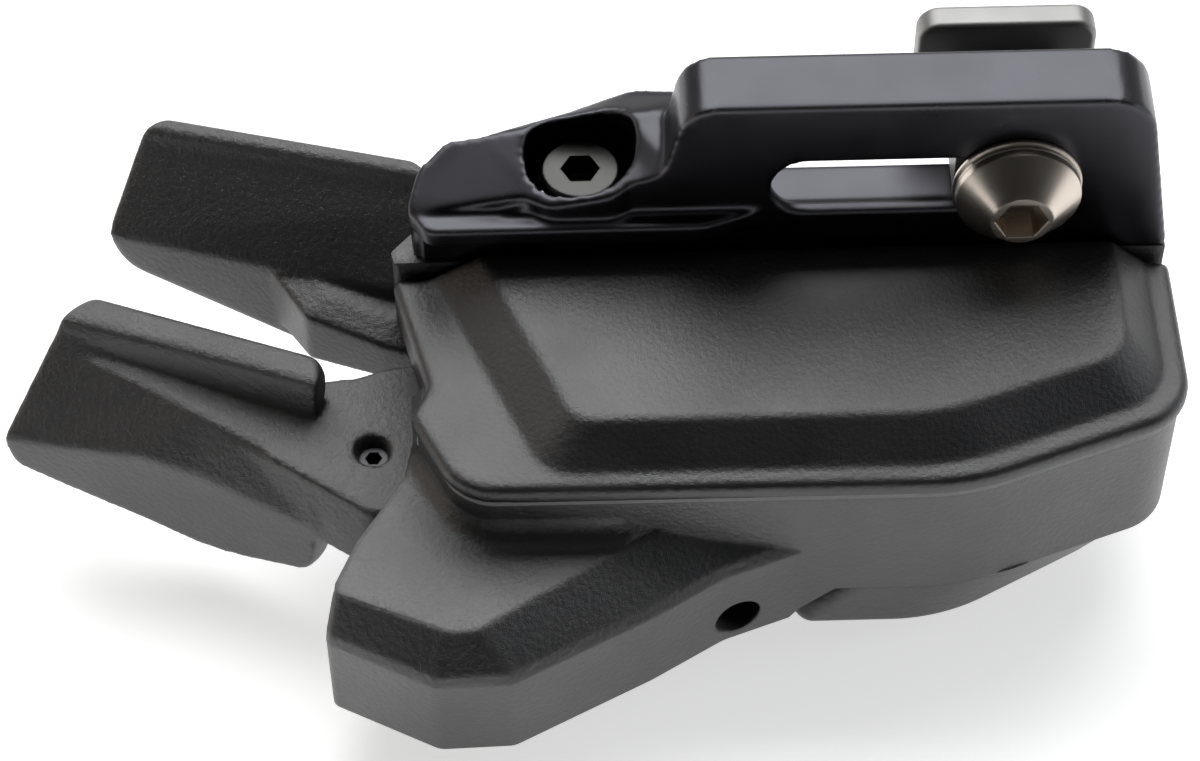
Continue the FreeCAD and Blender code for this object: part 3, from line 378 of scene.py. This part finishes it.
madeMetals = {name: metal(name, values) for name, values in metals.items()}
print("metals made")

# small plastics and rubbers

# grain and height are in millimetres
plastics = {
    "moulded silicone":
        {"colour": "#8E8E90", "second": "#A2A2A4", "rough": 0.55, "grain": 0.30, "height": 0.006},
    "solder mask laminate":
        {"colour": "#0E4A22", "second": "#16602F", "rough": 0.30, "grain": 1.20, "height": 0.004},
    "moulded epoxy":
        {"colour": "#1D1D1E", "second": "#2A2A2B", "rough": 0.50, "grain": 0.20, "height": 0.005},
    "polyimide film":
        {"colour": "#B4701C", "second": "#C98530", "rough": 0.25, "grain": 1.50, "height": 0.003},
    "moulded switch":
        {"colour": "#2B2B2D", "second": "#363639", "rough": 0.42, "grain": 0.25, "height": 0.004},
    "moulded acetal":
        {"colour": "#DAD8D2", "second": "#E6E4DE", "rough": 0.35, "grain": 0.40, "height": 0.003},
}

moulding = {
    "strength": 0.5,
    "roughSpread": 0.05,
    "ior": 1.5,
}


def smallPlastic(name, p):
    # small mouldings and films: even colour with a faint cloud, a trace of tool marks
    material, tree = newMaterial(name)
    place = addNode(tree, "ShaderNodeTexCoord")
    grain = noise(tree, place, p["grain"], 3.0)
    colour = blend(tree, p["colour"], p["second"], grain.outputs["Fac"])
    relief = addNode(tree, "ShaderNodeBump", {"Strength": moulding["strength"], "Distance": p["height"] * mm},
                     {"Height": grain.outputs["Fac"]})
    spread = moulding["roughSpread"]
    rough = mapped(tree, grain.outputs["Fac"], (0.0, 1.0), (p["rough"] - spread, p["rough"] + spread))
    finishMaterial(tree, {"IOR": moulding["ior"]},
                   {"Base Color": colour.outputs["Result"], "Roughness": rough, "Normal": relief.outputs[0]})
    return material


madePlastics = {name: smallPlastic(name, values) for name, values in plastics.items()}
print("small plastics made")

# shapes drawn in millimetres from the lid's own corner, then moved to the frame's origin

drawing = {
    "datum": (36.3, 21.0, 7.1),    # mm, the frame's origin in the drawing
    "arcSteps": 7,                 # points on a rounded corner
    "reach": 60.0,                 # mm, how far a cutting shape runs past the piece
    "weld": 0.000002,              # m, points closer than this are one
}


def roundedOutline(corners):
    # closed outline through (a, b, radius) corners: a corner without radius is one point, and a round
    # one an arc about the centre that lies one radius from both sides, in even turns
    points = np.array([corner[:2] for corner in corners], dtype=float)
    t = np.linspace(0.0, 1.0, drawing["arcSteps"])[:, None]
    outline = []
    for i, (a, b, radius) in enumerate(corners):
        corner = points[i]
        if radius <= 0:
            outline.append(corner[None])
            continue
        before = points[i - 1] - corner
        after = points[(i + 1) % len(points)] - corner
        before, after = before / np.linalg.norm(before), after / np.linalg.norm(after)
        half = math.acos(np.clip(before @ after, -1.0, 1.0)) / 2
        middle = (before + after) / np.linalg.norm(before + after) * radius / math.sin(half)
        start, end = (side * radius / math.tan(half) - middle for side in (before, after))
        turn = math.pi - 2 * half
        arc = (np.sin((1 - t) * turn) * start + np.sin(t * turn) * end) / math.sin(turn)
        outline.append(corner + middle + arc)
    return np.concatenate(outline)


def atHeight(outline, height):
    # plan points at one height, or on the slope that a function of x and y gives
    level = height(outline[:, 0], outline[:, 1]) if callable(height) else np.full(len(outline), height)
    return np.column_stack([outline, level])


def loftMesh(name, sections):
    # four-sided faces between neighbouring sections, point by point, closed by a cap at each end
    rows = np.array(sections)
    grid = np.arange(rows.shape[0] * rows.shape[1]).reshape(rows.shape[:2])
    after = np.roll(grid, -1, axis=1)
    sides = np.stack([grid[:-1], after[:-1], after[1:], grid[1:]], axis=-1).reshape(-1, 4)
    places = (rows.reshape(-1, 3) - np.array(drawing["datum"])) * mm
    mesh = bpy.data.meshes.new(name)
    mesh.from_pydata(places.tolist(), [], sides.tolist() + [grid[0][::-1].tolist(), grid[-1].tolist()])
    shape = bmesh.new()
    shape.from_mesh(mesh)
    bmesh.ops.recalc_face_normals(shape, faces=shape.faces)
    shape.to_mesh(mesh)
    shape.free()
    return mesh


def prismMesh(name, corners, low, high):
    outline = roundedOutline(corners)
    return loftMesh(name, [atHeight(outline, low), atHeight(outline, high)])


def discCorners(centre, radius):
    # a square whose rounded corners meet is a circle; a hair less than half the side keeps them apart
    x, y = centre
    return [(x + i * radius, y + j * radius, radius * 0.999) for i, j in ((1, 1), (-1, 1), (-1, -1), (1, -1))]


def evaluatedMesh(piece):
    shown = piece.evaluated_get(bpy.context.evaluated_depsgraph_get())
    return bpy.data.meshes.new_from_object(shown)


def newPiece(name, mesh):
    piece = bpy.data.objects.new(name, mesh)
    scene.collection.objects.link(piece)
    return piece


def carved(mesh, steps):
    # one mesh after a list of (operation, other mesh) steps
    piece = newPiece("carving", mesh)
    others = []
    for operation, other in steps:
        others.append(newPiece("tool", other))
        cut = piece.modifiers.new("cut", "BOOLEAN")
        cut.operation = operation
        cut.solver = "EXACT"
        cut.object = others[-1]
    made = evaluatedMesh(piece)
    for used in [piece] + others:
        bpy.data.objects.remove(used)
    return made


def gathered(meshes):
    # several closed meshes in one, which the even grid then melts together
    shape = bmesh.new()
    for mesh in meshes:
        shape.from_mesh(mesh)
    made = bpy.data.meshes.new("gathered")
    shape.to_mesh(made)
    shape.free()
    return made


def softened(name, mesh, values, body, finish, node):
    # remeshed on an even grid of values["voxel"] mm; in each of values["rounds"] rounds every point then
    # moves half way to the mean of its neighbours, which rounds the edges and leaves flat faces flat
    piece = newPiece(name, mesh)
    weld = piece.modifiers.new("weld", "WELD")
    weld.merge_threshold = drawing["weld"]
    grid = piece.modifiers.new("grid", "REMESH")
    grid.mode = "VOXEL"
    grid.voxel_size = values["voxel"] * mm
    made = evaluatedMesh(piece)
    piece.modifiers.clear()
    piece.data = made
    made.name = name
    count = len(made.vertices)
    place = np.empty(count * 3)
    made.vertices.foreach_get("co", place)
    place = place.reshape(-1, 3)
    pairs = np.empty(len(made.edges) * 2, dtype=np.int64)
    made.edges.foreach_get("vertices", pairs)
    first, second = pairs.reshape(-1, 2).T
    share = np.bincount(first, minlength=count) + np.bincount(second, minlength=count)
    for _ in range(values["rounds"]):
        sums = [
            np.bincount(first, place[second, k], count) + np.bincount(second, place[first, k], count)
            for k in range(3)
        ]
        mean = np.stack(sums, axis=1) / share[:, None]
        place += 0.5 * (mean - place)
    made.vertices.foreach_set("co", place.ravel())
    made.polygons.foreach_set("use_smooth", np.ones(len(made.polygons), dtype=bool))
    made.materials.clear()
    made.materials.append(finish)
    made.update()
    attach(piece, body)
    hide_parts(node)
    print(name, len(made.polygons), "faces")


# thumb levers

levers = {
    "faceTilt": 50.0,              # degrees, how far the thumb faces look up
    "armTop": -10.6,
    "armBottom": -16.1,
    "main": {"start": (-25.6, 5.2), "angle": 20.6, "top": -5.7, "bottom": -23.5, "length": 25.0, "rim": 3.7,
             "overlap": 3.9, "armRise": 0.7, "armSlope": 0.083},
    "release": {"start": (-16.3, 23.2), "angle": 14.7, "top": -0.8, "length": 24.2, "rim": 4.0, "bevel": 1.1,
                "armRise": 0.1, "armSlope": 0.19, "armMiddle": -18.0},
    "mainPivot": (-9.0, 1.0),
    "hubClear": 6.6,
    "screw": (-19.9, 1.3),
    "screwBore": 1.28,
    "recess": 1.6,                 # radius of the screw's recess
    "recessDepth": 1.0,
    "recessDrop": 0.3,             # how far the arm's top has fallen at the screw
    "carrierTop": -13.5,
    "hubSide": -12.9,              # x from which the hub inside the housing is the CAD node's own
    "voxel": 0.22,
    "rounds": 14,
}


def bladeFrame(blade):
    # turns (along the blade, out towards the thumb, height) into places
    turn = math.radians(blade["angle"])
    along = np.array([-math.cos(turn), math.sin(turn), 0.0])
    out = np.array([-math.sin(turn), -math.cos(turn), 0.0])
    base = np.array([*blade["start"], 0.0])
    upward = (0.0, 0.0, 1.0)

    def placeOf(s, d, z):
        return base + np.multiply.outer(s, along) + np.multiply.outer(d, out) + np.multiply.outer(z, upward)

    return placeOf


def bladeSlab(name, frameOf, stations):
    # stations are (along, corners); each section is a rounded outline in (out, height)
    sections = []
    for s, corners in stations:
        outline = roundedOutline(corners)
        sections.append(frameOf(np.full(len(outline), s), outline[:, 0], outline[:, 1]))
    return loftMesh(name, sections)


def paddlePrism(frameOf, corners):
    # the blade's rounded outline seen square to its thumb face, drawn as (along, up the face)
    tilt = math.radians(levers["faceTilt"])
    across = frameOf(0.0, 1.0, 0.0) - frameOf(0.0, 0.0, 0.0)
    normal = across * math.cos(tilt) + np.array([0.0, 0.0, math.sin(tilt)])
    outline = roundedOutline(corners)
    s, v = outline.T
    ring = frameOf(s, -v * math.sin(tilt), v * math.cos(tilt))
    return loftMesh("paddle", [ring - normal * drawing["reach"], ring + normal * drawing["reach"]])


def mainBlade():
    # a rim above, a rib that grows into the arm, and a broad lower face
    blade = levers["main"]
    frameOf = bladeFrame(blade)
    top, low, length, rear = blade["top"], blade["bottom"], blade["length"], -blade["rim"]
    ribs = [                       # along, bottom, foot of the rim, ridge of the rib, crease below it
        (-blade["overlap"], low + 2.6, (0.6, top - 4.5), (6.7, top - 4.5, 1.2), (8.6, top - 9.0)),
        (length * 0.18, low + 0.3, (0.7, top - 3.9), (4.7, top - 3.8, 1.1), (7.7, top - 8.0)),
        (length * 0.34, low, (0.8, top - 3.5), (3.9, top - 3.4, 0.9), (7.4, top - 7.5)),
        (length * 0.54, low + 1.6, (0.9, top - 3.0), (2.9, top - 3.0, 0.7), (7.5, top - 7.0)),
        (length * 0.86, low + 4.6, (0.9, top - 1.4), (1.9, top - 2.2, 0.2), (8.2, top - 8.0)),
        (length + 3.0, low + 7.2, (0.9, top - 1.3), (1.8, top - 2.1, 0.2), (8.7, top - 8.4)),
    ]
    stations = []
    for s, bottom, foot, ridge, crease in ribs:
        corners = [(rear, top, 0.6), (0.1, top, 0.9), (*foot, 0), ridge, (*crease, 0)]
        corners += [(crease[0] + 0.3, bottom, 0), (crease[0] - 2.8, bottom, 0), (0.2, top - 7.4, 0)]
        stations.append((s, corners))
    outline = [
        (-1.0, -1.35, 2.4), (10.0, -0.75, 30.0), (length - 2.4, -0.9, 4.2), (length + 1.8, -17.7, 3.0),
        (8.3, -22.6, 9.0), (-3.0, -20.3, 2.8), (-blade["overlap"], -15.2, 0), (-1.0, -9.0, 0),
    ]
    return carved(bladeSlab("mainBlade", frameOf, stations), [("INTERSECT", paddlePrism(frameOf, outline))])


def mainArm():
    # the arm's top falls slightly from the blade to the hub, and its front side slopes
    blade = levers["main"]
    turn = math.radians(blade["angle"])

    def top(x, y):
        along = (blade["start"][0] - x) * math.cos(turn) + (y - blade["start"][1]) * math.sin(turn)
        return levers["armTop"] + blade["armRise"] + along * blade["armSlope"]

    rear = [
        (-12.8, 9.4, 0), (-15.6, 11.0, 1.0), (-18.2, 10.7, 0),
        (-21.4, 9.4, 0), (-24.3, 8.9, 0), (-26.6, 7.4, 0),
    ]
    low = roundedOutline([(-30.4, -0.6, 0), (-20.6, -7.4, 1.5), (-12.8, -6.9, 0)] + rear)
    high = roundedOutline([(-29.0, 0.3, 0), (-20.2, -5.35, 1.5), (-12.8, -5.2, 0)] + rear)
    return loftMesh("mainArm", [atHeight(low, levers["armBottom"]), atHeight(high, top)])


def mainLever():
    far = drawing["reach"]
    carrier = [(-8.9, -3.7, 0), (-20.6, -3.7, 1.5), (-24.7, 1.2, 2.0), (-21.6, 5.7, 1.5), (-8.9, 5.7, 0)]
    recessTop = levers["armTop"] + levers["main"]["armRise"] - levers["recessDrop"]
    recessFloor = recessTop - levers["recessDepth"]
    cuts = [
        prismMesh("hub", discCorners(levers["mainPivot"], levers["hubClear"]), -far, 0.0),
        prismMesh("bore", discCorners(levers["screw"], levers["screwBore"]), -far, 0.0),
        prismMesh("recess", discCorners(levers["screw"], levers["recess"]), recessFloor, 0.0),
        prismMesh("carrier", carrier, -far, levers["carrierTop"]),
    ]
    solid = carved(mainBlade(), [("UNION", mainArm())])
    return carved(solid, [("DIFFERENCE", cut) for cut in cuts])


def releaseBlade():
    # rim above, sloped thumb face, and a lower face that tapers to the tip
    blade = levers["release"]
    frameOf = bladeFrame(blade)
    top, length, rear = blade["top"], blade["length"], -blade["rim"]
    stations = []
    for s, drop in ((-6.0, 6.9), (length + 4.0, 5.9)):
        stations.append((s, [
            (rear, top, 0.6), (-1.9, top, 0.9), (-1.35, top - 1.2, 0), (-0.8, top - 1.8, 0.7),
            (5.3, top - 1.5 - drop, 0), (5.8, top - 19.0, 0), (2.8, top - 19.0, 0), (-1.6, top - 6.0, 0),
        ]))
    outline = [
        (-5.5, -3.0, 0), (1.2, 2.75, 7.0), (length + 1.4, 2.2, 3.4),
        (length + 4.0, -11.2, 3.6), (-5.5, -19.8, 0),
    ]
    housingSide = [
        (-19.4, 5.0, 0), (-19.4, 16.7, 0), (-14.1, 23.0, 0), (-8.8, 25.8, 0), (20.0, 25.8, 0), (20.0, 5.0, 0),
    ]
    far = drawing["reach"]
    steps = [
        ("INTERSECT", paddlePrism(frameOf, outline)),
        ("DIFFERENCE", prismMesh("side", housingSide, -far, far)),
    ]
    return carved(bladeSlab("releaseBlade", frameOf, stations), steps)


def releaseArm():
    # a sloping top inside a broad bevel
    blade = levers["release"]

    def top(x, y):
        return levers["armTop"] + blade["armRise"] - (x - blade["armMiddle"]) * blade["armSlope"]

    def edge(x, y):
        return top(x, y) - blade["bevel"]

    outer = [(-31.0, 23.4, 0), (-26.2, 16.3, 1.2), (-19.2, 13.7, 2.0), (-12.6, 12.6, 0)]
    inner = [(-29.6, 24.0, 0), (-24.2, 18.3, 1.0), (-19.2, 16.4, 2.0), (-12.6, 15.4, 0)]
    rear = [(-12.6, 21.6, 0), (-19.0, 22.4, 0), (-24.0, 25.6, 0), (-28.0, 26.0, 0)]
    low, high = roundedOutline(outer + rear), roundedOutline(inner + rear)
    sections = [atHeight(low, levers["armBottom"]), atHeight(low, edge), atHeight(high, top)]
    return loftMesh("releaseArm", sections)


def releaseLever():
    far = drawing["reach"]
    side = levers["hubSide"]
    inside = prismMesh("inside", [(side, -far, 0), (far, -far, 0), (far, far, 0), (side, far, 0)], -far, far)
    hub = nodes["release_lever"].data.copy()
    shape = bmesh.new()
    shape.from_mesh(hub)
    bmesh.ops.remove_doubles(shape, verts=shape.verts, dist=drawing["weld"])
    shape.to_mesh(hub)
    shape.free()
    return gathered([releaseBlade(), releaseArm(), carved(hub, [("INTERSECT", inside)])])


softened("mainLeverMoulding", mainLever(), levers,
         "main_lever", leverNylon, "main_lever")
softened("releaseLeverMoulding", releaseLever(), levers,
         "release_lever", leverNylon, "release_lever")
print("levers made")

# lid with the soft edges of the real moulding

lid = {"voxel": 0.26, "rounds": 10}

softened("lidMoulding", nodes["top_cover"].data.copy(), lid,
         "housing", lidNylon, "top_cover")
print("lid made")

# clamp bracket: slotted wall, foot with the screw's pocket, lip over the lid

bracket = {
    "deck": -1.5,
    "wallTop": 16.95,
    "wallRise": 0.5,               # the wall's top is higher at the rear
    "wallLeft": 7.7,
    "wallRight": 47.1,
    "wallLean": 3.2,
    "wallFront": 15.0,
    "wallRear": 21.0,
    "footStep": 0.4,               # the foot's front stands this far behind the wall's
    "margin": 1.0,                 # how far a cut starts outside the face it opens
    "seat": 7.1,                   # height of the clamp bolt's axis
    "slot": (15.2, 40.8, 6.4),     # left, right, height
    "lip": 1.4,                    # the slot is wider behind this much of its front
    "channelMargin": 0.5,
    "channelOverrun": 2.4,
    "ridge": 21.6,
    "screwAt": (-1.2, 19.3),
    "screwSeat": 1.6,
    "screwBore": 2.25,
    "pocketWidth": 9.6,
    "pocketBack": 23.0,
    "pocketBulge": 1.35,
    "pocketWall": 0.85,
    "lidClear": 0.5,
    "rearScrew": (42.0, 18.0, 2.4, 1.5),   # x, y, top, radius
    "lipTop": 4.5,
    "lipThickness": 2.0,
    "lipFront": 13.15,
    "voxel": 0.25,
    "rounds": 5,
}


def atDepth(outline, y):
    # an outline drawn in x and z, set upright at one depth
    return np.column_stack([outline[:, 0], np.full(len(outline), y), outline[:, 1]])


def uprightPrism(name, corners, front, back):
    outline = roundedOutline(corners)
    return loftMesh(name, [atDepth(outline, front), atDepth(outline, back)])


def bracketWall(b):
    sections = []
    for depth, rise in ((b["wallFront"], 0.0), (b["wallRear"], b["wallRise"])):
        top = b["wallTop"] + rise
        sections.append(atDepth(roundedOutline([
            (-15.2, b["deck"], 0), (-15.2, 2.4, 0), (b["wallLeft"] - 1.8, 9.1, 2.6),
            (b["wallLeft"], top, 3.4), (b["wallRight"], top, 4.4),
            (b["wallRight"] + b["wallLean"], b["deck"], 0),
        ]), depth))
    return loftMesh("wall", sections)


def bracketFoot(b):
    # a roof that rises to a ridge and falls away behind it, inside a plan with a bulge for the screw
    # depth, then the roof's height at the left, in the middle and at the right
    profiles = ((12.0, 2.7, 6.2, 10.0), (b["ridge"], 5.8, 9.0, 10.9), (29.0, 0.6, 5.4, 8.6))
    roof = []
    for depth, left, middle, right in profiles:
        corners = [(-20.0, b["deck"]), (-20.0, left), (-2.0, middle), (9.4, right), (9.4, b["deck"])]
        roof.append(atDepth(np.array(corners), depth))
    front = b["wallFront"] + b["footStep"]
    left, right = b["screwAt"][0] - b["pocketWidth"] / 2, b["screwAt"][0] + b["pocketWidth"] / 2
    bulge = front - b["pocketBulge"]
    plan = [
        (-16.6, front, 1.2), (left - 0.2, front, 2.5), (left + 2.0, bulge, 3.0),
        (right - 2.0, bulge, 3.0), (right + 0.2, front, 2.5), (9.4, front, 0), (9.4, 24.0, 1.0),
        (3.4, 26.0, 3.0), (-9.6, b["ridge"], 3.0),
        (-12.8, 21.6, 1.0), (-15.4, 19.4, 1.5),
    ]
    far = drawing["reach"]
    overLid = [(-far, 5.0, 0), (far, 5.0, 0), (far, front, 0), (-far, front, 0)]
    return carved(loftMesh("roof", roof), [
        ("INTERSECT", prismMesh("plan", plan, b["deck"], b["wallTop"])),
        ("DIFFERENCE", prismMesh("overLid", overLid, b["deck"] - b["margin"], b["lidClear"])),
    ])


def bracketLip(b):
    corners = [
        (-16.8, 16.6, 1.0), (-14.6, b["lipFront"], 1.6), (9.4, b["lipFront"], 5.0),
        (15.2, b["wallFront"] + 0.2, 0), (-14.0, b["wallFront"] + 3.0, 0),
    ]
    return prismMesh("lip", corners, b["lipTop"] - b["lipThickness"], b["lipTop"])


def bracketCuts(b):
    far = drawing["reach"]
    left, right = b["screwAt"][0] - b["pocketWidth"] / 2, b["screwAt"][0] + b["pocketWidth"] / 2
    front = b["wallFront"] + b["footStep"] - b["pocketBulge"] + b["pocketWall"]
    back = b["pocketBack"]
    pocket = [(left, front, 4.0), (right, front, 4.0), (right, back, 3.0), (left, back, 3.0)]
    start, end, height = b["slot"]
    low, high, radius = b["seat"] - height / 2, b["seat"] + height / 2, height / 2 - 0.01
    slot = [(start, low, radius), (end, low, radius), (end, high, radius), (start, high, radius)]
    low, high = low - b["channelMargin"], high + b["channelMargin"]
    start, end = start - b["channelOverrun"], end + b["channelOverrun"]
    channel = [(start, low, 1.0), (end, low, 1.0), (end, high, 1.0), (start, high, 1.0)]
    x, y, top, radius = b["rearScrew"]
    margin = b["margin"]
    return [
        prismMesh("pocket", pocket, b["screwSeat"], far),
        prismMesh("screwBore", discCorners(b["screwAt"], b["screwBore"]), b["deck"] - margin, far),
        uprightPrism("slot", slot, b["wallFront"] - margin, b["wallRear"] + margin),
        uprightPrism("channel", channel, b["wallFront"] + b["lip"], b["wallRear"] + margin),
        prismMesh("rearBore", discCorners((x, y), radius), b["deck"] - margin, top),
    ]


def bracketBody(b):
    solid = carved(bracketWall(b), [("UNION", bracketFoot(b)), ("UNION", bracketLip(b))])
    return carved(solid, [("DIFFERENCE", cut) for cut in bracketCuts(b)])


softened("bracketBody", bracketBody(bracket), bracket,
         "housing", madeMetals["anodised bracket"], "mount_bracket")
print("bracket made")

# which finish each CAD piece wears

finishes = {
    housingNylon: ["main_housing", "battery_cover"],
    lidNylon: ["top_cover"],
    leverNylon: ["main_lever", "release_lever"],
    madeMetals["anodised bracket"]: ["mount_bracket"],
    madeMetals["satin plate nut"]: ["clamp_nut"],
    madeMetals["zinc cap screw"]: ["bracket_screw"],
    madeMetals["turned stainless"]: ["clamp_bolt", "clamp_washers"],
    madeMetals["black oxide screw"]: [
        "cover_screws", "battery_cover_screws", "bracket_rear_screw", "lever_fixing_screw",
    ],
    madeMetals["ground steel pin"]: ["main_pivot_pin", "release_pivot_pin"],
    madeMetals["drawn spring wire"]: ["main_return_spring", "release_return_spring"],
    madeMetals["sintered bronze"]: ["main_lever_bushing", "release_lever_bushing"],
    madeMetals["milled carrier"]: ["main_lever_carrier"],
    madeMetals["pressed cell can"]: ["coin_cell"],
    madeMetals["tinned radio can"]: ["radio_module"],
    madeMetals["nickel strip"]: ["battery_contact_negative", "battery_contact_positive"],
    madePlastics["moulded silicone"]: [
        "cover_gasket", "battery_cover_seal", "main_plunger_seal", "release_plunger_seal",
    ],
    madePlastics["solder mask laminate"]: ["circuit_board", "switch_board"],
    madePlastics["moulded epoxy"]: ["control_chip"],
    madePlastics["polyimide film"]: ["switch_flex"],
    madePlastics["moulded switch"]: ["main_switch", "release_switch"],
    madePlastics["moulded acetal"]: [
        "main_switch_button", "release_switch_button", "main_plunger", "release_plunger",
    ],
}


def dressNodes():
    for material, names in finishes.items():
        for name in names:
            slots = nodes[name].data.materials
            slots.clear()
            slots.append(material)


dressNodes()
print("pieces dressed")
